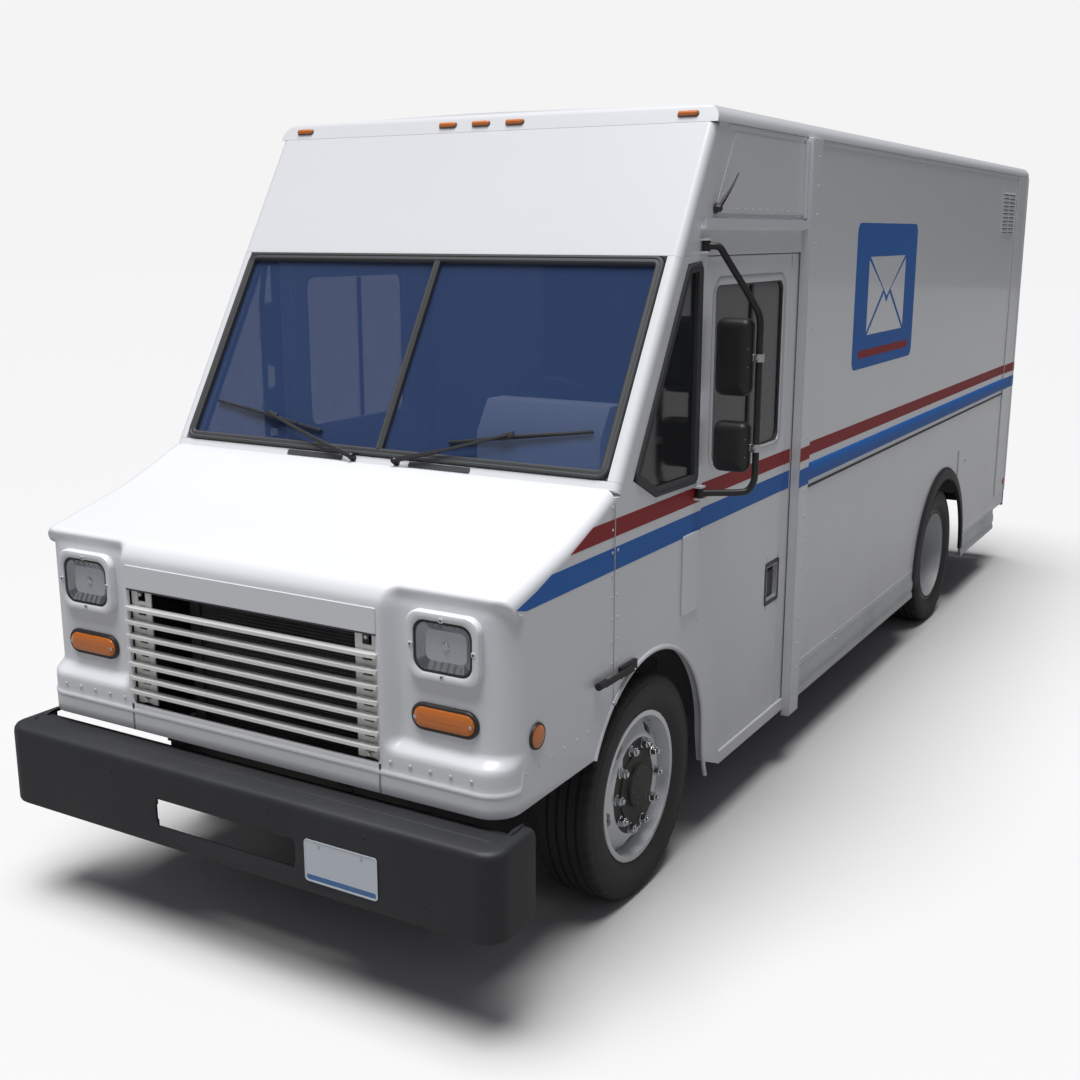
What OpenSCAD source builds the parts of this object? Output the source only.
// Step van for mail delivery.
// Millimetres, +Z up. The truck faces -Y and its left side is +X. The origin lies on the ground,
// below the middle of the whole truck. Inside placed(), y = 0 is the front axle.

/* [Overall] */
// Distance between the front and rear axles
wheelbase = 4425; // [3900:25:5000]
// Width of the body over its side skins
body_w = 2120; // [1900:10:2500]
// Height of the roof's crown above the ground
roof_z = 3040; // [2900:10:3300]
// Length of the body behind the rear axle
rear_overhang = 2025; // [1600:25:2400]
// From the front axle forward to the face of the nose
nose_overhang = 1065; // [1000:5:1150]
// From the front axle forward to the face of the bumper
bumper_overhang = 1222; // [1200:2:1300]
// Depth of the rear step bumper behind the body
rear_step = 90; // [60:5:200]

/* [Body panels] */
// Thickness of the outer skins of the cargo body
skin_t = 10; // [6:1:14]
// Thickness of the cab's side and front panels
cab_t = 35; // [25:1:45]
// Thickness of the moulded nose
nose_t = 20; // [14:1:28]
// Lean of the windshield and header, from upright
screen_lean = 30.96; // [24:0.5:36]
// Height of the bottom edge of the windshield
cowl_z = 1700; // [1620:5:1780]
// Height of the top edge of the windshield
screen_top_z = 2467; // [2300:5:2600]
// Height of the drip edge, where the roof cap starts
eave_z = 2959; // [2800:5:2980]
// Height of the floor
floor_z = 800; // [760:5:850]

/* [Cab doors] */
// Height of the bottom edge of a cab door
door_bottom_z = 353; // [320:1:420]
// Height of the top edge of a cab door
door_top_z = 2461; // [2300:1:2520]
// Where a cab door starts, behind the front axle
door_front_y = 430; // [380:5:520]
// Where the post behind a cab door starts, behind the front axle
post_y = 1486; // [1400:2:1600]
// Thickness of a cab door
door_t = 26; // [18:1:34]
// Gap beside a sliding cab door
door_clear = 4; // [2:0.5:6]

/* [Wheels] */
// Outer radius of a tyre
tyre_r = 447; // [410:1:480]
// Section width of a tyre
tyre_w = 245; // [215:1:275]
// Radius of the bead seat of a rim
bead_r = 286; // [260:1:300]
// Width of a rim between its flanges
rim_w = 184; // [160:1:200]
// Pitch radius of the wheel studs
stud_pitch_r = 167.5; // [150:0.5:180]
// Number of wheel studs
stud_count = 10; // [6:1:10]
// Distance from the body's side in to the bulge of the outer tyres
tyre_inset = 20; // [10:1:60]
// Gap between the bulges of twin rear tyres
twin_gap = 35; // [25:1:60]
// Radius of the front wheel arch
front_arch_r = 507; // [490:1:540]
// Radius of the rear wheel arch
rear_arch_r = 560; // [540:1:600]

/* [Running gear] */
// Width of the chassis over its rails
frame_w = 864; // [800:2:880]
// Height of a rail
rail_h = 180; // [150:5:200]
// Height of the top of the rails
rail_top_z = 700; // [680:5:715]
// Radius of a kingpin
kingpin_r = 22; // [16:1:28]
// Radial running clearance of pins and spindles
run_clear = 0.08; // [0.02:0.01:0.1]
// Radius of the driveshaft tube
shaft_r = 45; // [30:1:55]

/* [Hidden] */
$fn = 48;

seat_gap = 0.3;                       // hairline between pieces that seat on each other
side_x = body_w / 2;
rear_y = wheelbase + rear_overhang;   // back face of the body
rear_end = rear_y + rear_step;
plate_t = 4;                          // licence plate on the bumper's face
front_end = bumper_overhang + plate_t;
mid_y = (rear_end - front_end) / 2;
white = [0.93, 0.93, 0.94];
charcoal = [0.16, 0.16, 0.17];
black = [0.06, 0.06, 0.06];
steel = [0.45, 0.46, 0.48];
amber = [0.9, 0.4, 0.05];
glass = [0.35, 0.42, 0.5, 0.45];

// ---- helpers -------------------------------------------------------------------------------
module placed() { translate([0, -mid_y, 0]) children(); }
module both_sides() { children(); mirror([1, 0, 0]) children(); }
// an outline drawn as (y, z), extruded from x0 by t towards +X
module side_plate(x0, t) { translate([x0, 0, 0]) rotate([90, 0, 90]) linear_extrude(t) children(); }
// an outline drawn as (x, z), extruded from y0 by t towards +Y
module cross_plate(y0, t) { translate([0, y0 + t, 0]) rotate([90, 0, 0]) linear_extrude(t) children(); }
module block(a, b) { translate(a) cube(b - a); }
module rod(a, b, r) {
    d = b - a;
    translate(a) rotate([0, acos(d[2] / norm(d)), atan2(d[1], d[0])]) cylinder(r = r, h = norm(d));
}
// corner points of a rectangle
function rect(x0, y0, x1, y1) = [[x0, y0], [x1, y0], [x1, y1], [x0, y1]];
function unit(v) = v / norm(v);
function turn(v) = [-v[1], v[0]];
function cross_at(a, u, b, v) = a + u * ((b - a) * turn(v)) / (u * turn(v));
// a convex anticlockwise outline moved inwards by d
function inset(p, d) = [for (i = [0:len(p) - 1])
    let (n = len(p), a = p[(i + n - 1) % n], b = p[i], c = p[(i + 1) % n], u = unit(b - a), v = unit(c - b))
    cross_at(b + turn(u) * d, u, b + turn(v) * d, v)];
// a convex anticlockwise outline with its corners rounded to radius r
function rounded(p, r, steps = 5) = let (q = inset(p, r), n = len(p))
    [for (i = [0:n - 1]) let (u = unit(p[i] - p[(i + n - 1) % n]), v = unit(p[(i + 1) % n] - p[i]),
        a0 = atan2(-u[0], u[1]), sweep = (atan2(-v[0], v[1]) - a0 + 720) % 360)
        for (k = [0:steps]) let (a = a0 + sweep * k / steps) q[i] + r * [cos(a), sin(a)]];
module ring_outline(p, d) { difference() { polygon(p); polygon(inset(p, d)); } }
// the leaning plane of the windshield: x across, y up the slope, z out of the glass
cowl_y = -290;
module on_screen() { translate([0, cowl_y, cowl_z]) rotate([90 - screen_lean, 0, 0]) children(); }
function up_screen(z) = (z - cowl_z) / cos(screen_lean);
function screen_y(z) = cowl_y + (z - cowl_z) * tan(screen_lean);

// ---- chassis -------------------------------------------------------------------------------
rail_x = frame_w / 2;
rail_t = 8;
flange_w = 70;
rail_z = rail_top_z - rail_h;
rail_front = -1030;
rail_rear = rear_y - 50;
hood_pivot = [-1028, 728];            // y, z of the hinge at the foot of the nose
hood_pin_r = 6;
hinge_x = rail_x - 14;
module rail() {
    cross_plate(rail_front, rail_rear - rail_front) difference() {
        polygon(rect(rail_x - flange_w, rail_z, rail_x, rail_top_z));
        polygon(rect(rail_x - flange_w - 1, rail_z + rail_t, rail_x - rail_t, rail_top_z - rail_t));
    }
}
cross_y = [-980, 800, 2050, 3300, wheelbase - 60, rail_rear - 140];
module chassis_frame() {
    color(black) placed() {
        union() {
            both_sides() rail();
            for (y = cross_y)
                block([-rail_x + rail_t, y, rail_top_z - 60], [rail_x - rail_t, y + 70,
                    rail_top_z - rail_t]);
            both_sides() {
                // bumper irons
                block([rail_x - 52, -bumper_overhang + bumper_t, rail_z + 20],
                    [rail_x, rail_front, rail_top_z - 40]);
                // ears of the hood hinge
                for (x = [hinge_x - 20, hinge_x + 8])
                    block([x, hood_pivot[0] - 11, rail_top_z - 1], [x + 12, hood_pivot[0] + 24,
                        hood_pivot[1] + 11]);
                translate([hinge_x - 20, hood_pivot[0], hood_pivot[1]]) rotate([0, 90, 0])
                    cylinder(r = hood_pin_r, h = 40);
            }
        }
    }
}
// ---- springs and axles -----------------------------------------------------------------------
spring_w = 60;
front_spring_x = rail_x - 38;
rear_spring_x = rail_x + 42;
beam_top_z = 430;
housing_r = 60;
leaf_t = 11;
leaf_step = 0.17;                     // share of the length by which each leaf is shorter
// leaves stacked upwards from z0, the longest on top
module leaf_pack(z0, half, rise, leaves) {
    function at(y, i) = [y, z0 + i * leaf_t + rise * pow(y / half, 2)];
    function reach(i) = half * (1 - leaf_step * (leaves - 1 - i));
    side_plate(-spring_w / 2, spring_w) polygon(concat(
        [for (i = [leaves - 1:-1:1]) each [at(-reach(i), i), at(-reach(i - 1), i)]],
        [for (k = [-6:6]) at(reach(0) * k / 6, 0)],
        [for (i = [1:leaves - 1]) each [at(reach(i - 1), i), at(reach(i), i)]],
        [for (k = [8:-1:-8]) at(half * k / 8, leaves)]));
}
front_half = 600;
rear_half = 720;
front_rise = 24;
rear_rise = 30;
module leaf_springs() {
    color(black) placed() both_sides() {
        translate([front_spring_x, 0, 0]) {
            leaf_pack(beam_top_z, front_half, front_rise, 4);
            for (s = [-1, 1])
                block([-spring_w / 2, s * (front_half - 25) - 30, beam_top_z + 4 * leaf_t + front_rise - 8],
                    [spring_w / 2, s * (front_half - 25) + 30, rail_z]);
        }
        translate([rear_spring_x, wheelbase, 0]) {
            leaf_pack(tyre_r + housing_r, rear_half, rear_rise, 5);
            for (s = [-1, 1])
                block([-(rear_spring_x - rail_x), s * (rear_half - 25) - 35,
                    tyre_r + housing_r + 5 * leaf_t + rear_rise - 8],
                    [spring_w / 2, s * (rear_half - 25) + 35, rail_top_z - 20]);
        }
    }
}
outer_wheel_x = side_x - tyre_inset - tyre_w / 2;
kingpin_x = outer_wheel_x - tyre_w / 2 - 35;
boss_r = 45;
boss_z = [405, 489];
pin_z = [360, 534];
module front_axle() {
    color(black) placed() {
        cross_plate(-35, 70) polygon([[-kingpin_x, boss_z[0]], [-kingpin_x + 60, boss_z[0]],
            [-kingpin_x + 150, 350],
            [kingpin_x - 150, 350], [kingpin_x - 60, boss_z[0]], [kingpin_x, boss_z[0]], [kingpin_x,
                boss_z[1]],
            [kingpin_x - 60, boss_z[1]], [kingpin_x - 160, beam_top_z], [-kingpin_x + 160, beam_top_z],
            [-kingpin_x + 60, boss_z[1]], [-kingpin_x, boss_z[1]]]);
        both_sides() translate([kingpin_x, 0, 0]) {
            translate([0, 0, boss_z[0]]) cylinder(r = boss_r, h = boss_z[1] - boss_z[0]);
            translate([0, 0, pin_z[0]]) cylinder(r = kingpin_r, h = pin_z[1] - pin_z[0]);
        }
    }
}
spindle_r = 35;
rear_spindle_r = 45;
pinion_y = -330;                      // front of the pinion nose, from the rear axle
module rear_axle() {
    color(black) placed() translate([0, wheelbase, tyre_r]) {
        rotate([0, 90, 0]) translate([0, 0, -twin_x + 60]) cylinder(r = housing_r, h = 2 * (twin_x - 60));
        rotate([0, 90, 0]) translate([0, 0, -twin_x - 50]) cylinder(r = rear_spindle_r,
            h = 2 * (twin_x + 50));
        rotate([0, 90, 0]) sphere(r = 165);
        shaft_line() translate([0, 0, shaft_len + seat_gap]) cylinder(r = 62, h = 260);
    }
}
// line of the driveshaft, seen from the rear axle centre
gearbox_y = 730;
gearbox_z = 590;
shaft_drop = atan((gearbox_z - tyre_r) / (wheelbase + pinion_y - gearbox_y));
shaft_len = (wheelbase + pinion_y - gearbox_y) / cos(shaft_drop);
module shaft_line() {
    translate([0, gearbox_y - wheelbase, gearbox_z - tyre_r]) rotate([-90 - shaft_drop, 0, 0]) children();
}
module driveshaft() {
    color(steel) placed() translate([0, wheelbase, tyre_r]) shaft_line() {
        translate([0, 0, 40]) cylinder(r = shaft_r, h = shaft_len - 80);
        for (z = [0, shaft_len - 12]) translate([0, 0, z]) cylinder(r = shaft_r + 17, h = 12);
        for (z = [12, shaft_len - 42]) translate([-25, -25, z]) cube([50, 50, 30]);
    }
}
// ---- steering --------------------------------------------------------------------------------
arm_len = 180;
arm_z = 408;
arm_t = 20;
tie_pin_r = 10;
tie_z = [374, 396];
module knuckle() {
    translate([kingpin_x, 0, 0]) difference() {
        union() {
            for (z = [[pin_z[0] + 5, boss_z[0] - seat_gap], [boss_z[1] + seat_gap, pin_z[1] - 4]]) {
                translate([0, 0, z[0]]) cylinder(r = 46, h = z[1] - z[0]);
                block([0, -40, z[0]], [60, 40, z[1]]);
            }
            block([boss_r + 5, -50, pin_z[0] + 5], [boss_r + 29, 50, pin_z[1] - 4]);
            translate([boss_r + 20, 0, tyre_r]) rotate([0, 90, 0])
                cylinder(r = spindle_r, h = outer_wheel_x + 45 - kingpin_x - boss_r - 20);
            translate([0, 0, arm_z]) linear_extrude(arm_t)
                polygon([[52, 20], [boss_r + 29, 50], [18, arm_len + 5], [-18, arm_len + 5], [-18,
                    arm_len - 12]]);
            translate([0, arm_len, tie_z[0]]) cylinder(r = tie_pin_r, h = arm_z - tie_z[0] + 5);
        }
        translate([0, 0, pin_z[0] - 5]) cylinder(r = kingpin_r + run_clear, h = pin_z[1] - pin_z[0] + 10);
    }
}
module knuckle_left() { color(black) placed() knuckle(); }
module knuckle_right() { color(black) placed() mirror([1, 0, 0]) knuckle(); }
module tie_rod() {
    color(steel) placed() difference() {
        union() {
            both_sides() translate([kingpin_x, arm_len, tie_z[0]]) cylinder(r = 22,
                h = tie_z[1] - tie_z[0]);
            rod([-kingpin_x, arm_len, 385], [kingpin_x, arm_len, 385], 10);
        }
        translate([kingpin_x, arm_len, tie_z[0] - 20]) cylinder(r = tie_pin_r + run_clear, h = 60);
        translate([-kingpin_x, arm_len, tie_z[0] - 20]) cylinder(r = tie_pin_r + seat_gap, h = 60);
    }
}
// ---- wheels ----------------------------------------------------------------------------------
twin_pitch = tyre_w + twin_gap;
inner_tyre_x = outer_wheel_x - twin_pitch - tyre_w / 2;
twin_x = outer_wheel_x - twin_pitch / 2;      // where the two discs of a twin wheel meet
flange_t = 9;
flange_h = 12;
disc_t = 12;
hub_r = 139;
rim_half = rim_w / 2;
module wheel_axis(x, y) { translate([x, y, tyre_r]) rotate([0, 90, 0]) children(); }
module tyre() {
    wall = tyre_r - bead_r - seat_gap;
    half = tyre_w / 2;
    outer = [[0, rim_half], [14, rim_half], [44, half - 6], [0.5 * wall, half], [0.76 * wall, half - 4],
        [wall - 14, half - 12], [wall - 4, half - 24], [wall, half - 52]];
    inner = [[wall - 18, half - 62], [wall - 24, half - 34], [0.7 * wall, half - 20], [0.5 * wall,
        half - 17],
        [42, half - 24], [20, rim_half - 18], [0, rim_half - 22]];
    function mirrored(p) = [for (i = [len(p) - 1:-1:0]) [p[i][0], -p[i][1]]];
    rotate_extrude($fn = 96) translate([bead_r + seat_gap, 0])
        polygon(concat(outer, mirrored(outer), mirrored(inner), inner));
}
module rim(disc_outline) {
    rotate_extrude($fn = 96) {
        polygon(rect(bead_r - 8, -rim_half - flange_t, bead_r, rim_half + flange_t));
        for (s = [-1, 1]) polygon(rect(bead_r - 1, s > 0 ? rim_half : -rim_half - flange_t,
            bead_r + flange_h, s > 0 ? rim_half + flange_t : -rim_half));
    }
    difference() {
        rotate_extrude($fn = 96) polygon(disc_outline);
        for (i = [0:4]) rotate(72 * i) translate([230, 0, -200]) linear_extrude(400) {
            translate([-8, -14]) square([16, 28]);
            for (s = [-1, 1]) translate([0, 14 * s]) circle(r = 22);
        }
    }
}
front_disc = [[bead_r - 8, 8], [bead_r - 8, 22], [262, 40], [235, 62], [205, 78], [190, 84], [hub_r, 84],
    [hub_r, 84 - disc_t], [188, 72], [202, 66], [230, 50], [256, 29]];
twin_offset = twin_pitch / 2;
rear_disc = [[bead_r - 8, -70], [bead_r - 8, -56], [250, -78], [222, -112], [196, disc_t - twin_offset],
    [hub_r, disc_t - twin_offset], [hub_r, -twin_offset], [190, -twin_offset], [214, -124], [242, -90]];
module studs(z0, nut_h) {
    for (i = [0:stud_count - 1]) rotate(360 / stud_count * (i + 0.5)) translate([stud_pitch_r, 0, z0]) {
        cylinder(r = 19, h = nut_h, $fn = 6);
        cylinder(r = 11, h = nut_h + 9);
    }
}
hub_in = 40;
module hub(z0, z1, bore_r, bore_end, cap_r, drum_z0) {
    difference() {
        union() {
            translate([0, 0, z0]) cylinder(r = hub_r, h = z1 - z0);
            translate([0, 0, z1]) cylinder(r = cap_r, h = 14);
        }
        translate([0, 0, z0 - 1]) cylinder(r = bore_r + run_clear, h = bore_end - z0 + 1);
    }
    // brake drum
    difference() {
        translate([0, 0, drum_z0]) cylinder(r = 205, h = z0 + 12 - drum_z0);
        translate([0, 0, drum_z0 - 1]) cylinder(r = 190, h = z0 + 1 - drum_z0);
        translate([0, 0, z0 - 1]) cylinder(r = hub_r - 1, h = 20);
    }
}
module front_wheel() {
    rim(front_disc);
    studs(84, 24);
    hub(-hub_in, 90, spindle_r, 45 + 3, 85, -80);
}
module rear_wheels() {
    rim(rear_disc);
    translate([0, 0, -twin_pitch]) mirror([0, 0, 1]) rim(rear_disc);
    studs(disc_t - twin_offset, 24);
    translate([0, 0, -twin_offset]) hub(-40, 60, rear_spindle_r, 52, 70, -130);
    translate([0, 0, -twin_offset + 60]) cylinder(r = 95, h = 20);
}
module tyre_front_left() { color(black) placed() wheel_axis(outer_wheel_x, 0) tyre(); }
module tyre_front_right() { color(black) placed() mirror([1, 0, 0]) wheel_axis(outer_wheel_x, 0) tyre(); }
module rear_tyres() {
    for (x = [0, -twin_pitch]) wheel_axis(outer_wheel_x + x, wheelbase) tyre();
}
module tyres_rear_left() { color(black) placed() rear_tyres(); }
module tyres_rear_right() { color(black) placed() mirror([1, 0, 0]) rear_tyres(); }
module wheel_front_left() { color("silver") placed() wheel_axis(outer_wheel_x, 0) front_wheel(); }
module wheel_front_right() {
    color("silver") placed() mirror([1, 0, 0]) wheel_axis(outer_wheel_x, 0) front_wheel();
}
module wheels_rear_left() { color("silver") placed() wheel_axis(outer_wheel_x, wheelbase) rear_wheels(); }
module wheels_rear_right() {
    color("silver") placed() mirror([1, 0, 0]) wheel_axis(outer_wheel_x, wheelbase) rear_wheels();
}
// ---- engine, cooling, fuel and exhaust ---------------------------------------------------------
module powertrain() {
    color(steel) placed() {
        block([-250, -640, 560], [250, 120, 960]);
        block([-190, -600, 960], [190, 80, 1130]);
        block([-150, 120, 480], [150, 560, 760]);
        translate([0, wheelbase, tyre_r]) shaft_line() translate([0, 0, -190]) cylinder(r = 95,
            h = 190 - seat_gap);
        // engine mounts on the rails
        both_sides() block([250, -300, 600], [rail_x - rail_t, -200, 640]);
        // silencer, its pipes and hangers, outside the right rail
        rod([-640, 1750, 560], [-640, 2750, 560], 95);
        rod([-640, 2750, 560], [-640, 3250, 560], 32);
        rod([-640, 1000, 560], [-640, 1750, 560], 32);
        for (y = [1850, 2600]) block([-640, y, 590], [-rail_x, y + 40, 610]);
    }
}
radiator_y = -905;
radiator_x = 420;
module radiator() {
    color(black) placed() block([-radiator_x, radiator_y, rail_top_z], [radiator_x, radiator_y + 65, 1330]);
}
module fuel_tank() {
    color(black) placed() {
        cross_plate(1900, 1300) polygon(rounded(rect(rail_x + 14, 400, rail_x + 434, 670), 50));
        for (y = [2150, 2900]) block([rail_x, y, 560], [rail_x + 40, y + 60, 640]);
    }
}
// ---- floor and inner walls -----------------------------------------------------------------------
floor_t = 20;
inner_x = side_x - skin_t - door_t - 2 * door_clear;      // clear width between the cab doors
house_z = 1000;                                          // top of the wheel houses
house_t = 8;
house_back = 560;                     // back of the front wheel houses and the engine cover
step_z = 400;
step_x = 760;
step_y = [700, 1400];
cover_x = 330;
cover_z = 1330;                       // top of the engine cover
firewall_y = -280;
firewall_t = 15;
bulkhead_y = 1560;
bulkhead_t = 25;
rear_house = [wheelbase - 540, wheelbase + 540];
house_clear = 15;
house_x = inner_tyre_x - house_clear;
seat_x = 540;
pedestal_z = 1120;
pedestal_w = 340;
pedestal_y = [880, 1220];
module floor() {
    g = seat_gap;
    color([0.5, 0.5, 0.52]) placed() {
        both_sides() {
            // sills between the rails and the floor
            block([rail_x - flange_w, -200, rail_top_z], [rail_x, rail_rear, floor_z - floor_t - g]);
            // cab floor beside and behind the engine cover
            block([cover_x + g, firewall_y + firewall_t, floor_z - floor_t], [house_x - house_t - g,
                house_back, floor_z]);
            // front wheel houses: shelf, inner wall and back wall
            block([house_x, firewall_y + firewall_t, house_z - house_t], [inner_x, house_back, house_z]);
            block([house_x - house_t, firewall_y + firewall_t, floor_z - floor_t], [house_x - g,
                house_back - g, house_z]);
            block([house_x, house_back + g, floor_z - floor_t], [inner_x, house_back + house_t, house_z]);
            // step wells: riser, tread and ends
            block([step_x - house_t, step_y[0], step_z], [step_x - g, step_y[1], floor_z]);
            block([step_x, step_y[0], step_z], [inner_x, step_y[1], step_z + 15]);
            block([step_x, step_y[0] - house_t, step_z], [inner_x, step_y[0] - g, floor_z]);
            block([step_x, step_y[1] + g, step_z], [inner_x, step_y[1] + house_t, floor_z]);
            // floor strips ahead of, beside and behind the wells
            block([step_x, house_back + house_t + g, floor_z - floor_t], [inner_x,
                step_y[0] - house_t - g, floor_z]);
            block([step_x, step_y[1] + house_t + g, floor_z - floor_t], [inner_x, rear_house[0] - g,
                floor_z]);
            block([house_x, rear_house[1] + g, floor_z - floor_t], [inner_x, rail_rear - g, floor_z]);
            // rear wheel houses
            block([house_x, rear_house[0], house_z - house_t], [inner_x, rear_house[1], house_z]);
            block([house_x - house_t, rear_house[0], floor_z], [house_x - g, rear_house[1], house_z]);
            for (y = [rear_house[0], rear_house[1] - house_t])
                block([house_x, y, floor_z - floor_t], [inner_x, y + house_t, house_z - house_t - g]);
        }
        // floor between the wells, up to the bulkhead's back, and the clear floor of the hold behind it
        for (span = [[house_back + house_t, bulkhead_y + bulkhead_t], [bulkhead_y + bulkhead_t,
            rear_house[0]]])
            block([-step_x + house_t + g, span[0] + g, floor_z - floor_t],
                [step_x - house_t - g, span[1] - g, floor_z]);
        block([-house_x + house_t / 2, rear_house[0], floor_z - floor_t], [house_x - house_t / 2,
            rail_rear - g, floor_z - g]);
        // seat pedestal
        block([seat_x - pedestal_w / 2, pedestal_y[0], floor_z + g],
            [seat_x + pedestal_w / 2, pedestal_y[1], pedestal_z]);
    }
}
doorway_x = 330;
doorway_z = 2700;
module bulkhead() {
    color([0.7, 0.7, 0.72]) placed() {
        both_sides() cross_plate(bulkhead_y, bulkhead_t)
            polygon(rect(doorway_x, floor_z + seat_gap, inner_x, eave_z - seat_gap));
        cross_plate(bulkhead_y, bulkhead_t)
            polygon(rect(-doorway_x + seat_gap, doorway_z, doorway_x - seat_gap, eave_z - seat_gap));
    }
}
// ---- cab shell -----------------------------------------------------------------------------------
screen_w = 1010;                       // half width of the windshield opening
seam_y = -322;                         // joint between the nose and the cab
cowl_low_z = cowl_z - 50;              // top of the panels below the windshield
module cab_front() {
    g = seat_gap;
    top = up_screen(eave_z - g);
    color(white) placed() {
        on_screen() translate([0, 0, -cab_t]) {
            linear_extrude(cab_t) {
                polygon(rect(-side_x, up_screen(screen_top_z) + g, side_x, top));
                polygon(rect(-side_x, -34, side_x, -g));
                both_sides() polygon(rect(screen_w + g, 0, side_x, up_screen(screen_top_z)));
            }
        }
        // firewall on both sides of the engine cover, over the wheel houses, and above it
        both_sides() {
            block([cover_x + g, firewall_y, floor_z - floor_t], [house_x - g,
                firewall_y + firewall_t - g, cowl_low_z]);
            block([house_x, firewall_y, house_z - 70], [inner_x, firewall_y + firewall_t - g, cowl_low_z]);
        }
        block([-cover_x, firewall_y, cover_z + 5], [cover_x, firewall_y + firewall_t - g, cowl_low_z]);
    }
}
// front edge of the cab's side, behind the leaning front panel
side_back = cab_t / cos(screen_lean) + seat_gap;
arch_z = 500;
quarter = [[-185, 1688], [5, 1596], [380, 1590], [380, 2447], [248, 2436]];
door_edge = door_front_y - door_clear;
slant_z = 1262;
slant_y = 692;
header_z = door_top_z + door_clear;
module cab_side() {
    g = seat_gap;
    // panel ahead of the door, with the quarter window
    side_plate(side_x - cab_t, cab_t) difference() {
        polygon([[seam_y + 8, 725], [slant_y + 8, 296], [slant_y, door_bottom_z], [door_edge, slant_z],
            [door_edge, header_z - g], [screen_y(header_z) + side_back, header_z - g],
            [screen_y(cowl_low_z) + side_back, cowl_low_z], [seam_y + 8, cowl_low_z]]);
        polygon(quarter);
        translate([0, arch_z]) circle(r = front_arch_r, $fn = 96);
        polygon([[-700, 0], [front_arch_r + 44, 0], [front_arch_r + 40, 300], [front_arch_r, arch_z],
            [0, arch_z], [-front_arch_r, arch_z + 238], [-700, arch_z + 238]]);
    }
    // panel above the door
    side_plate(side_x - cab_t, cab_t)
        polygon([[screen_y(header_z) + side_back, header_z], [post_y - g, header_z], [post_y - g,
            eave_z - g],
            [screen_y(eave_z) + side_back, eave_z - g]]);
    // sill below the door
    side_plate(side_x - cab_t, cab_t)
        polygon([[slant_y + 10, 296], [post_y - g, 296], [post_y - g, door_bottom_z - g], [slant_y + 4,
            door_bottom_z - g]]);
    // mirror brackets with their pins
    for (z = [mirror_top_z, mirror_low_z]) {
        for (s = [-1, 1]) block([side_x, mirror_y - 22, z + s * 24 - 4], [side_x + 32, mirror_y + 22,
            z + s * 24 + 4]);
        translate([mirror_x, mirror_y, z - 24]) cylinder(r = 6, h = 48);
    }
}
module cab_sides() { color(white) placed() both_sides() cab_side(); }
seal_w = 35;
seal_proud = 10;
module window_seals() {
    v = up_screen(screen_top_z);
    color(charcoal) placed() {
        on_screen() translate([0, 0, -cab_t + 5]) linear_extrude(cab_t - 5 + seal_proud) {
            ring_outline(rect(-screen_w, 0, screen_w, v), seal_w);
            polygon(rect(-15, seal_w - 1, 15, v - seal_w + 1));
        }
        both_sides() side_plate(side_x - cab_t + 5, cab_t - 5 + seal_proud) ring_outline(quarter, seal_w);
    }
}
module cab_glass() {
    color(glass) placed() {
        v = up_screen(screen_top_z);
        both_sides() on_screen() translate([0, 0, -18]) linear_extrude(6)
            polygon(rect(15, seal_w, screen_w - seal_w, v - seal_w));
        both_sides() side_plate(side_x - 18, 6) polygon(inset(quarter, seal_w));
    }
}
// ---- cargo body ----------------------------------------------------------------------------------
post_w = 134;
post_proud = 32;
corner_y = rear_y - 340;
module body_posts() {
    color(white) placed() both_sides() {
        block([side_x - skin_t, post_y, 262], [side_x + post_proud, post_y + post_w, eave_z - seat_gap]);
        block([side_x + seat_gap, corner_y, 560], [side_x + 8, rear_y, eave_z - seat_gap]);
    }
}
rear_arch_z = 400;
skirt_z = 454;
flare_w = 80;
fuel_y = [wheelbase + 402, wheelbase + 602];
fuel_z = [910, 1110];
module cargo_side() {
    y0 = post_y + post_w + seat_gap;
    split = rear_arch_z + rear_arch_r + 50;
    module arch() { translate([wheelbase, rear_arch_z]) circle(r = rear_arch_r + 50, $fn = 96); }
    side_plate(side_x - skin_t, skin_t) {
        difference() {
            polygon(rect(y0, split, rear_y - seat_gap, eave_z - seat_gap));
            polygon(rect(fuel_y[0] + 20, 0, fuel_y[1] - 20, fuel_z[1] - 20));
        }
        difference() {
            polygon(rect(y0, skirt_z, wheelbase - seat_gap, split - seat_gap));
            arch();
        }
        difference() {
            polygon(rect(wheelbase, skirt_z, rear_y - seat_gap, split - seat_gap));
            arch();
            polygon(rect(fuel_y[0] + 20, fuel_z[0] + 20, fuel_y[1] - 20, split));
        }
    }
    // pan and filler cap behind the fuel door
    block([side_x - skin_t, fuel_y[0] + 20 + seat_gap, fuel_z[0] + 20 + seat_gap],
        [side_x - skin_t + 3, fuel_y[1] - 20 - seat_gap, fuel_z[1] - 20 - seat_gap]);
    translate([side_x - skin_t + 3, (fuel_y[0] + fuel_y[1]) / 2, (fuel_z[0] + fuel_z[1]) / 2])
        rotate([0, 90, 0]) cylinder(r = 45, h = 5);
}
module cargo_sides() { color(white) placed() both_sides() cargo_side(); }
roof_lip = 8;
brow_r = 60;
brow_z = roof_z - brow_r * (1 - sin(screen_lean));   // where the brow leaves the header's slope
brow = [screen_y(brow_z) + brow_r * cos(screen_lean), roof_z - brow_r];
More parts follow.
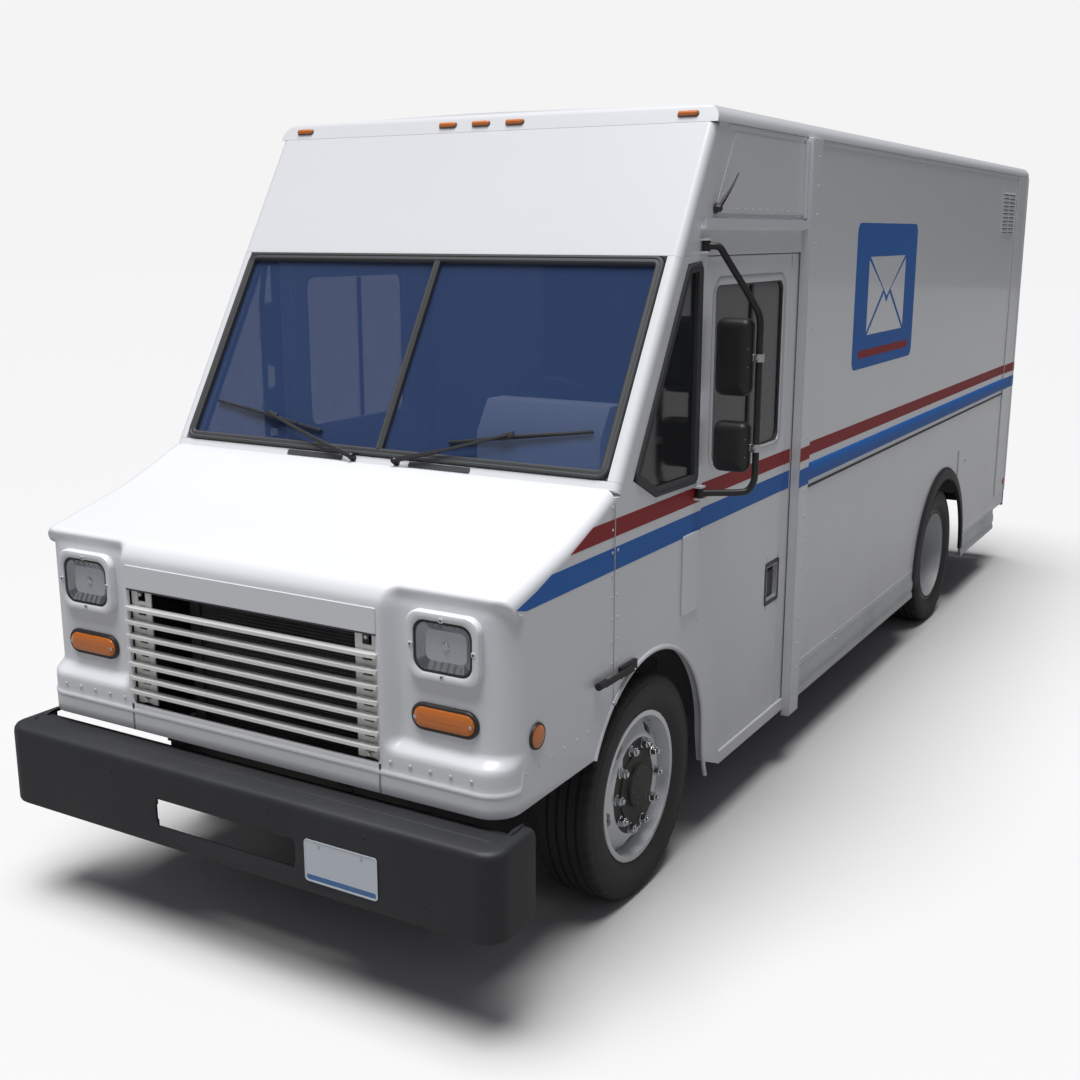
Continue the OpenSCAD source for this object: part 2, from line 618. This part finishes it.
module roof() {
    x = side_x + roof_lip;
    r = 60;
    crown = [for (a = [0:15:90]) [x - r + r * cos(a), roof_z - 16 - r + r * sin(a)]];
    color(white) placed() {
        intersection() {
            cross_plate(0, rear_y) polygon(concat([[-x, eave_z], [x, eave_z]], crown, [[0, roof_z]],
                [for (i = [len(crown) - 1:-1:0]) [-crown[i][0], crown[i][1]]]));
            // the front follows the leaning header up into a rounded brow
            side_plate(-x, 2 * x) polygon(concat([[screen_y(eave_z), eave_z], [rear_y + 1, eave_z],
                [rear_y + 1, roof_z + 1]], [for (k = [0:5]) let (a = 90 + (90 - screen_lean) * k / 5)
                [brow[0] + brow_r * cos(a), brow[1] + brow_r * sin(a)]]));
        }
    }
}
door_x = 902;                          // half width of the rear doorway
rear_door_z = [806, 2800];
rear_door_t = 45;
hinge_zs = [1000, 1800, 2600];
rear_pin = [914, rear_y + 22];         // x, y of a rear door's hinge
rear_pin_r = 5;
module rear_frame() {
    g = seat_gap;
    color(white) placed() {
        both_sides() {
            cross_plate(rear_y - 50, 50 - g) polygon(rect(door_x, skirt_z, side_x - skin_t - g,
                eave_z - g));
            for (z = hinge_zs) {
                for (s = [-1, 1]) block([rear_pin[0] - 10, rear_y - g, z + s * 38 - 12],
                    [rear_pin[0] + 30, rear_pin[1] + 10, z + s * 38 + 12]);
                translate([rear_pin[0], rear_pin[1], z - 30]) cylinder(r = rear_pin_r, h = 60);
            }
        }
        cross_plate(rear_y - 50, 50 - g) polygon(rect(-door_x + g, rear_door_z[1] + 4, door_x - g,
            eave_z - g));
        cross_plate(rear_y - 50, 50 - g) polygon(rect(-door_x + g, rail_top_z + 6, door_x - g,
            rear_door_z[0] - 4));
    }
}
window = rect(190, 1850, 720, 2450);
module rear_door() {
    y = rear_y - 48;
    pane = rounded(window, 60);
    cross_plate(y, rear_door_t) difference() {
        polygon(rect(4, rear_door_z[0], door_x - 4, rear_door_z[1]));
        polygon(pane);
    }
    cross_plate(y + 20, 6) polygon(pane);
    for (z = hinge_zs) difference() {
        union() {
            block([rear_pin[0] - 90, rear_y - 3, z - 25], [rear_pin[0] - 18, rear_pin[1] + 6, z + 25]);
            block([rear_pin[0] - 20, rear_pin[1] - 6, z - 25], [rear_pin[0], rear_pin[1] + 6, z + 25]);
            translate([rear_pin[0], rear_pin[1], z - 25]) cylinder(r = 10, h = 50);
        }
        translate([rear_pin[0], rear_pin[1], z - 30]) cylinder(r = rear_pin_r + run_clear, h = 60);
    }
}
module rear_door_left() { color(white) placed() rear_door(); }
module rear_door_right() { color(white) placed() mirror([1, 0, 0]) rear_door(); }
handle = [-75, 1270];                  // x, z of the rear handle's spindle
module rear_handle() {
    color(black) placed() {
        translate([handle[0], rear_y - 3 + seat_gap, handle[1]]) rotate([-90, 0, 0]) cylinder(r = 24,
            h = 22);
        cross_plate(rear_y + 14, 14) polygon(rounded(rect(handle[0] - 160, handle[1] - 16,
            handle[0] + 24, handle[1] + 16), 12));
    }
}
module side_trim() {
    rub_z = 1360;
    mould_z = 1432;
    mould_r = 60;
    mould_in = 42;
    color(white) placed() {
        both_sides() {
            // half-round moulding and rub line along the cargo body
            intersection() {
                rod([side_x - mould_in, post_y + post_w + 32, mould_z], [side_x - mould_in,
                    corner_y - 1, mould_z], mould_r);
                block([side_x + seat_gap, 0, mould_z - 60], [side_x + 30, rear_y, mould_z + 60]);
            }
            block([side_x + seat_gap, post_y + post_w + 10, rub_z - 5], [side_x + 5, corner_y - 1,
                rub_z + 5]);
            // drip rail over the door
            block([side_x + seat_gap, 345, 2560], [side_x + 26, post_y - seat_gap, 2606]);
        }
        // cover plate on the left cowl and the antenna above the left door
        block([side_x + seat_gap, 249, 1075], [side_x + 12, 418 - door_clear, 1402]);
        translate([side_x + seat_gap, 480, 2640]) rotate([0, 90, 0]) cylinder(r = 16, h = 14);
        rod([side_x + 14, 480, 2640], [side_x + 44, 605, 2775], 4);
    }
}
module skirt_rails() {
    color("silver") placed() both_sides() {
        reach = rear_arch_r + flare_w + 2;
        for (span = [[post_y + post_w + seat_gap, wheelbase - reach], [wheelbase + reach, corner_y + 8]])
            cross_plate(span[0], span[1] - span[0])
                polygon(rounded(rect(side_x - skin_t, 301, side_x + 10, skirt_z - seat_gap), 8));
    }
}
module arch_flares() {
    color(black) placed() both_sides() side_plate(side_x + seat_gap, 24) difference() {
        translate([wheelbase, rear_arch_z]) circle(r = rear_arch_r + flare_w, $fn = 96);
        translate([wheelbase, rear_arch_z]) circle(r = rear_arch_r, $fn = 96);
        polygon(rect(wheelbase - 900, -400, wheelbase + 900, 380));
    }
}
// ---- bumpers and lamps ---------------------------------------------------------------------------
bumper_t = 14;
bumper_z = [374, 692];
bumper_x = 1130;
slot_x = 328;
slot_z = [454, 561];
function bumper_plan(d) = let (x = bumper_x - d, y = -bumper_overhang + d)
    concat([[-x + 6, -980]], [for (a = [180:15:270]) [-x + 82 + 82 * cos(a), y + 82 + 82 * sin(a)]],
        [for (a = [270:15:360]) [x - 82 + 82 * cos(a), y + 82 + 82 * sin(a)]], [[x - 6, -980]]);
module front_bumper() {
    color(charcoal) placed() {
        difference() {
            translate([0, 0, bumper_z[0]]) linear_extrude(bumper_z[1] - bumper_z[0]) polygon(bumper_plan(0));
            translate([0, 0, bumper_z[0] + 12]) linear_extrude(bumper_z[1] - bumper_z[0] - 24)
                polygon(bumper_plan(bumper_t));
            block([-bumper_x + 40, -1040, 0], [bumper_x - 40, -900, 1000]);
            block([-bumper_x + 20, -1120, 0], [bumper_x - 20, -900, bumper_z[0] + 20]);
            cross_plate(-1300, 150) polygon(rounded(rect(-slot_x, slot_z[0], slot_x, slot_z[1]), 24));
        }
        cross_plate(-front_end, plate_t) polygon(rounded(rect(370, 426, 675, 578.4), 14));
    }
}
module rear_bumper() {
    color(charcoal) placed() {
        cross = rect(rear_y + seat_gap, 420, rear_end, 550);
        side_plate(-side_x + 10, body_w - 20) difference() {
            polygon(cross);
            polygon(rect(rear_y - 5, 408, rear_end - 12, 538));
        }
        // irons to the rails
        both_sides()
            block([rail_x - 50, rail_rear + seat_gap, 545], [rail_x, rear_y + 60, 600]);
    }
}
lamp_z = 2990;
module marker_lamps() {
    color(amber) placed() {
        on_screen() for (x = [-939, -165, 0, 165, 939]) translate([x, up_screen(lamp_z), seat_gap])
            linear_extrude(14) polygon(rounded(rect(-45, -13, 45, 13), 12));
    }
}
module tail_lamps() {
    color([0.7, 0.08, 0.06]) placed() {
        both_sides() {
            for (z = [900, 1030, 1160]) translate([side_x - 58, rear_y, z]) rotate([-90, 0,
                0]) cylinder(r = 50, h = 14);
            translate([side_x + 8 + seat_gap, rear_y - 60, 640]) rotate([0, 90, 0]) cylinder(r = 25, h = 8);
        }
        for (x = [-939, -165, 0, 165, 939])
            cross_plate(rear_y, 12) polygon(rounded(rect(x - 45, 2907, x + 45, 2933), 12));
    }
}
// ---- cab fittings --------------------------------------------------------------------------------
wheel_c = [500, 330, 1830];            // centre of the steering wheel
column_tilt = 45;
pedal_pin = [-200, 1170];              // y, z of the pedal shaft
module steering_line() { translate(wheel_c) rotate([-column_tilt, 0, 0]) children(); }
module dash() {
    front = firewall_y + firewall_t + seat_gap;
    color([0.35, 0.38, 0.42]) placed() {
        // shelf across the cab and the instrument pod in front of the driver
        side_plate(-inner_x, 2 * inner_x) polygon([[front, 1480], [60, 1500], [60, 1600], [30, 1640],
            [front, 1640]]);
        side_plate(330, 540) polygon([[-80, 1640], [30, 1640], [60, 1600], [60, 1500], [150, 1560],
            [150, 1860],
            [110, 1920], [0, 1920], [-80, 1800]]);
        // steering column
        steering_line() translate([0, 0, -420]) cylinder(r = 38, h = 420 - 52);
        steering_line() translate([0, 0, -60]) cylinder(r = 14, h = 54 - seat_gap);
        // pedal shaft and its ears on the firewall
        rod([350, pedal_pin[0], pedal_pin[1]], [490, pedal_pin[0], pedal_pin[1]], 6);
        for (x = [350, 482]) block([x, front, pedal_pin[1] - 16], [x + 8, pedal_pin[0] + 12,
            pedal_pin[1] + 16]);
    }
}
module pedal(x, w, h) {
    difference() {
        union() {
            translate([x - 10, pedal_pin[0], pedal_pin[1]]) rotate([0, 90, 0]) cylinder(r = 14, h = 20);
            side_plate(x - 6, 12) polygon([[pedal_pin[0] - 8, pedal_pin[1]], [pedal_pin[0] + 8,
                pedal_pin[1]],
                [pedal_pin[0] + 88, 940], [pedal_pin[0] + 72, 930]]);
            translate([x - w / 2, pedal_pin[0] + 70, 930 - h / 2]) cube([w, 14, h]);
        }
        translate([x - 20, pedal_pin[0], pedal_pin[1]]) rotate([0, 90, 0]) cylinder(r = 6 + run_clear,
            h = 40);
    }
}
module brake_pedal() { color(black) placed() pedal(450, 70, 60); }
module accelerator_pedal() { color(black) placed() pedal(380, 50, 110); }
module steering_wheel() {
    color(black) placed() steering_line() {
        rotate_extrude($fn = 72) translate([225, 0]) circle(r = 13, $fn = 20);
        for (a = [90, 210, 330]) rotate(a) translate([0, -12, -6]) cube([225, 24, 12]);
        cylinder(r = 48, h = 30);
    }
}
module engine_cover() {
    color([0.25, 0.26, 0.28]) placed() difference() {
        block([-cover_x, firewall_y, floor_z - floor_t], [cover_x, house_back, cover_z]);
        block([-cover_x + 18, firewall_y - 5, floor_z - 60], [cover_x - 18, house_back - 20, cover_z - 18]);
    }
}
cushion_z = [1150, 1270];
module driver_seat() {
    color([0.15, 0.16, 0.2]) placed() translate([seat_x, 0, 0]) {
        block([-150, pedestal_y[0], pedestal_z + seat_gap], [150, pedestal_y[1], cushion_z[0]]);
        block([-230, 800, cushion_z[0] + seat_gap], [230, 1270, cushion_z[1]]);
        translate([0, 1215, cushion_z[1]]) rotate([-8, 0, 0])
            block([-220, 20, 0], [220, 120, 620]);
    }
}
// ---- nose ----------------------------------------------------------------------------------------
nose_z = 725;
hood_line = [[-322, 1678], [-435, 1628], [-638, 1547], [-860, 1484], [-960, 1458]];
nose_face = -nose_overhang;
grille_x = 570;
grille_z = [829, 1272];
panel_z = 1366;
recess_d = 45;
corner_r = 100;
fascia_t = 67;
function nose_top(r) = concat(hood_line, [for (a = [85:-17:0]) [nose_face + r - r * cos(a),
    1452 - r + r * sin(a)]]);
module nose_shell() {
    outer = concat([[nose_face, nose_z], [seam_y, nose_z]], nose_top(70));
    inner = concat([[nose_face + fascia_t, nose_z - 20], [seam_y + 20, nose_z - 20], [seam_y + 20,
        hood_line[0][1] - nose_t + 8]],
        [for (p = hood_line) if (p[0] > nose_face + fascia_t + 20) p - [0, nose_t + 2]],
            [[nose_face + fascia_t, 1425]]);
    plan = rounded(rect(-side_x, nose_face, side_x, 400), corner_r);
    color(white) placed() {
        difference() {
            intersection() {
                side_plate(-side_x, body_w) polygon(outer);
                linear_extrude(2000) polygon(plan);
            }
            side_plate(-side_x + nose_t, body_w - 2 * nose_t) polygon(inner);
            side_plate(-side_x - 1, body_w + 2) translate([0, arch_z]) circle(r = front_arch_r, $fn = 96);
            cross_plate(nose_face - 1, fascia_t + 5) polygon(rect(-grille_x, grille_z[0], grille_x,
                grille_z[1]));
            both_sides() {
                cross_plate(nose_face - 1, recess_d + 1) polygon(rounded(rect(630, 900, side_x + 60,
                    1400), 30));
                // pocket round each hinge
                translate([hinge_x - 26, hood_pivot[0], hood_pivot[1]]) rotate([0, 90,
                    0]) cylinder(r = 33, h = 52);
                block([hinge_x - 26, hood_pivot[0], nose_z - 1], [hinge_x + 26,
                    nose_face + fascia_t + 1, hood_pivot[1] + 33]);
            }
        }
        both_sides() difference() {
            block([hinge_x - 6, hood_pivot[0] - 12, hood_pivot[1] - 12], [hinge_x + 6,
                hood_pivot[0] + 14, hood_pivot[1] + 36]);
            translate([hinge_x - 20, hood_pivot[0], hood_pivot[1]]) rotate([0, 90,
                0]) cylinder(r = hood_pin_r + run_clear, h = 40);
        }
    }
}
slats = 7;
slat_pitch = 53.7;
module grille() {
    color([0.86, 0.85, 0.82]) placed() {
        for (i = [0:slats - 1]) {
            z = 882 + i * slat_pitch;
            block([-grille_x + 1, nose_face + 1, z - 4], [grille_x - 1, nose_face + 12, z + 4]);
            block([-grille_x - 7, nose_face - 13, z - 5], [grille_x + 7, nose_face - seat_gap, z + 5]);
            block([-grille_x + 1, nose_face - 2, z - 4], [grille_x - 1, nose_face + 2, z + 4]);
        }
        for (x = [-grille_x + seat_gap, grille_x - 100 - seat_gap])
            block([x, nose_face + 8, grille_z[0] + seat_gap], [x + 100, nose_face + 14,
                grille_z[1] - seat_gap]);
        // plate above the grille
        block([-573, nose_face - 3, grille_z[1] + 6], [573, nose_face - seat_gap, panel_z]);
    }
}
lamp_face = nose_face + recess_d;
module front_lamps() {
    color("silver") placed() both_sides() {
        cross_plate(lamp_face - 26, 26 - seat_gap) polygon(rounded(rect(675, 1144.5, 961, 1377.5), 50));
        cross_plate(lamp_face - 14, 14 - seat_gap) polygon(rounded(rect(682, 966, 944, 1061), 45));
        translate([side_x + seat_gap, -863, 955]) rotate([0, 90, 0]) cylinder(r = 45, h = 14);
    }
}
module hood_latches() {
    color(black) placed() both_sides() {
        block([side_x + seat_gap, seam_y + 40, 978], [side_x + 14, seam_y + 170, 1020]);
        block([side_x + 14, seam_y - 100, 990], [side_x + 26, seam_y + 120, 1010]);
        rod([side_x + 20, seam_y - 150, 1006], [side_x + 20, seam_y - 90, 1006], 14);
    }
}
// ---- cab doors -----------------------------------------------------------------------------------
door_out = side_x - skin_t - door_clear;       // outer face of a cab door
door_in = door_out - door_t;
door_window = rounded(rect(530, 1620, 1330, 2370), 60);
pocket_y = [1235, 1365];
pocket_z = [900, 1055];
latch_r = 3;
frame_t = 22;
module cab_door() {
    side_plate(door_in, door_t) difference() {
        polygon([[door_front_y, slant_z], [slant_y + 4, door_bottom_z], [post_y + 14, door_bottom_z],
            [post_y + 14, door_top_z], [door_front_y, door_top_z]]);
        polygon(door_window);
        polygon(rect(pocket_y[0], pocket_z[0], pocket_y[1], pocket_z[1]));
    }
    // pan of the handle recess
    block([door_in, pocket_y[0] + seat_gap, pocket_z[0] + seat_gap], [door_in + 5,
        pocket_y[1] - seat_gap, pocket_z[1] - seat_gap]);
    // window frame and pane
    side_plate(door_in + 2, door_t - 2) difference() {
        polygon(inset(door_window, seat_gap));
        polygon(inset(door_window, frame_t));
    }
    side_plate(door_in + 8, 6) polygon(inset(door_window, frame_t + seat_gap));
}
module cab_door_left() { color(white) placed() cab_door(); }
module cab_door_right() { color(white) placed() mirror([1, 0, 0]) cab_door(); }
paddle_x = door_out - 14;
module door_latch() {
    translate([paddle_x, pocket_y[0] + 14, pocket_z[0] + seat_gap])
        cylinder(r = latch_r, h = pocket_z[1] - pocket_z[0] - 2 * seat_gap);
    block([paddle_x - 3, pocket_y[0] + 14, pocket_z[0] + 22], [paddle_x + 3, pocket_y[1] - 18,
        pocket_z[1] - 22]);
}
module door_latch_left() { color(black) placed() door_latch(); }
module door_latch_right() { color(black) placed() mirror([1, 0, 0]) door_latch(); }
// ---- mirrors ---------------------------------------------------------------------------------------
mirror_y = 372;
mirror_x = side_x + 17;
mirror_top_z = 2501;
mirror_low_z = 1554;
tube_r = 14;
tube = [side_x + 197, 492];            // x, y of the arm's upright tube
module mirror_arm() {
    path = [[mirror_x, mirror_y, mirror_top_z], [side_x + 60, 396, mirror_top_z], [tube[0], tube[1], 2240],
        [tube[0], tube[1], 1600], [tube[0] - 42, tube[1] - 27, mirror_low_z], [mirror_x, mirror_y,
            mirror_low_z]];
    difference() {
        union() {
            for (i = [0:4]) rod(path[i], path[i + 1], tube_r);
            for (i = [1:4]) translate(path[i]) sphere(r = tube_r + 1.5);
            for (z = [mirror_top_z, mirror_low_z]) translate([mirror_x, mirror_y,
                z - 19.5]) cylinder(r = 16, h = 39);
        }
        for (z = [mirror_top_z, mirror_low_z]) translate([mirror_x, mirror_y,
            z - 30]) cylinder(r = 6 + run_clear, h = 60);
    }
}
module mirror_arm_left() { color(black) placed() mirror_arm(); }
module mirror_arm_right() { color(black) placed() mirror([1, 0, 0]) mirror_arm(); }
head_w = 150;
module mirror_head(z, h) {
    // shell inboard of the tube
    translate([tube[0] - tube_r - 8 - head_w, tube[1] - 44, z - h / 2])
        rotate([90, 0, 0]) translate([0, 0, -54]) linear_extrude(54) polygon(rounded(rect(0, 0, head_w,
            h), 34));
    // clamp round the tube
    difference() {
        union() {
            translate([tube[0], tube[1], z - 15]) cylinder(r = 20, h = 30);
            block([tube[0] - tube_r - 12, tube[1] - 12, z - 15], [tube[0] - 15, tube[1] + 8, z + 15]);
        }
        translate([tube[0], tube[1], z - 20]) cylinder(r = tube_r + run_clear, h = 40);
    }
}
module mirror_heads() {
    mirror_head(2080, 300);
    mirror_head(1730, 200);
}
module mirror_heads_left() { color(black) placed() mirror_heads(); }
module mirror_heads_right() { color(black) placed() mirror([1, 0, 0]) mirror_heads(); }
// ---- wipers and fuel door ----------------------------------------------------------------------------
wiper_u = 105;
wiper_v = -14;
module wiper() {
    on_screen() {
        translate([wiper_u, wiper_v, seat_gap]) cylinder(r = 13, h = 34);
        translate([0, 0, 22]) linear_extrude(9) polygon([[wiper_u, wiper_v - 11], [wiper_u, wiper_v + 11],
            [570, 137], [574, 125]]);
        translate([0, 0, 12]) linear_extrude(11) polygon([[560, 122], [580, 125], [577, 143], [557, 140]]);
        translate([0, 0, -11.5]) linear_extrude(24) polygon([[308, 83], [903, 175], [901, 187], [306, 95]]);
    }
}
module wiper_left() { color(black) placed() wiper(); }
module wiper_right() { color(black) placed() mirror([1, 0, 0]) wiper(); }
module fuel_door() {
    x = side_x + seat_gap;
    color(white) placed() {
        block([x, fuel_y[0], fuel_z[0]], [x + 4, fuel_y[1], fuel_z[1]]);
        translate([x + 4, fuel_y[0], fuel_z[0] + 10]) cylinder(r = 4, h = fuel_z[1] - fuel_z[0] - 20);
    }
}

chassis_frame();
leaf_springs();
front_axle();
rear_axle();
powertrain();
radiator();
fuel_tank();
floor();
bulkhead();
cab_front();
cab_sides();
window_seals();
cab_glass();
body_posts();
cargo_sides();
roof();
rear_frame();
side_trim();
skirt_rails();
arch_flares();
front_bumper();
rear_bumper();
marker_lamps();
tail_lamps();
dash();
engine_cover();
hood_latches();
nose_shell();
grille();
front_lamps();
cab_door_left();
cab_door_right();
door_latch_left();
door_latch_right();
mirror_arm_left();
mirror_arm_right();
mirror_heads_left();
mirror_heads_right();
knuckle_left();
knuckle_right();
tie_rod();
tyre_front_left();
tyre_front_right();
tyres_rear_left();
tyres_rear_right();
wheel_front_left();
wheel_front_right();
wheels_rear_left();
wheels_rear_right();
driveshaft();
wiper_left();
wiper_right();
rear_door_left();
rear_door_right();
rear_handle();
fuel_door();
steering_wheel();
brake_pedal();
accelerator_pedal();
driver_seat();
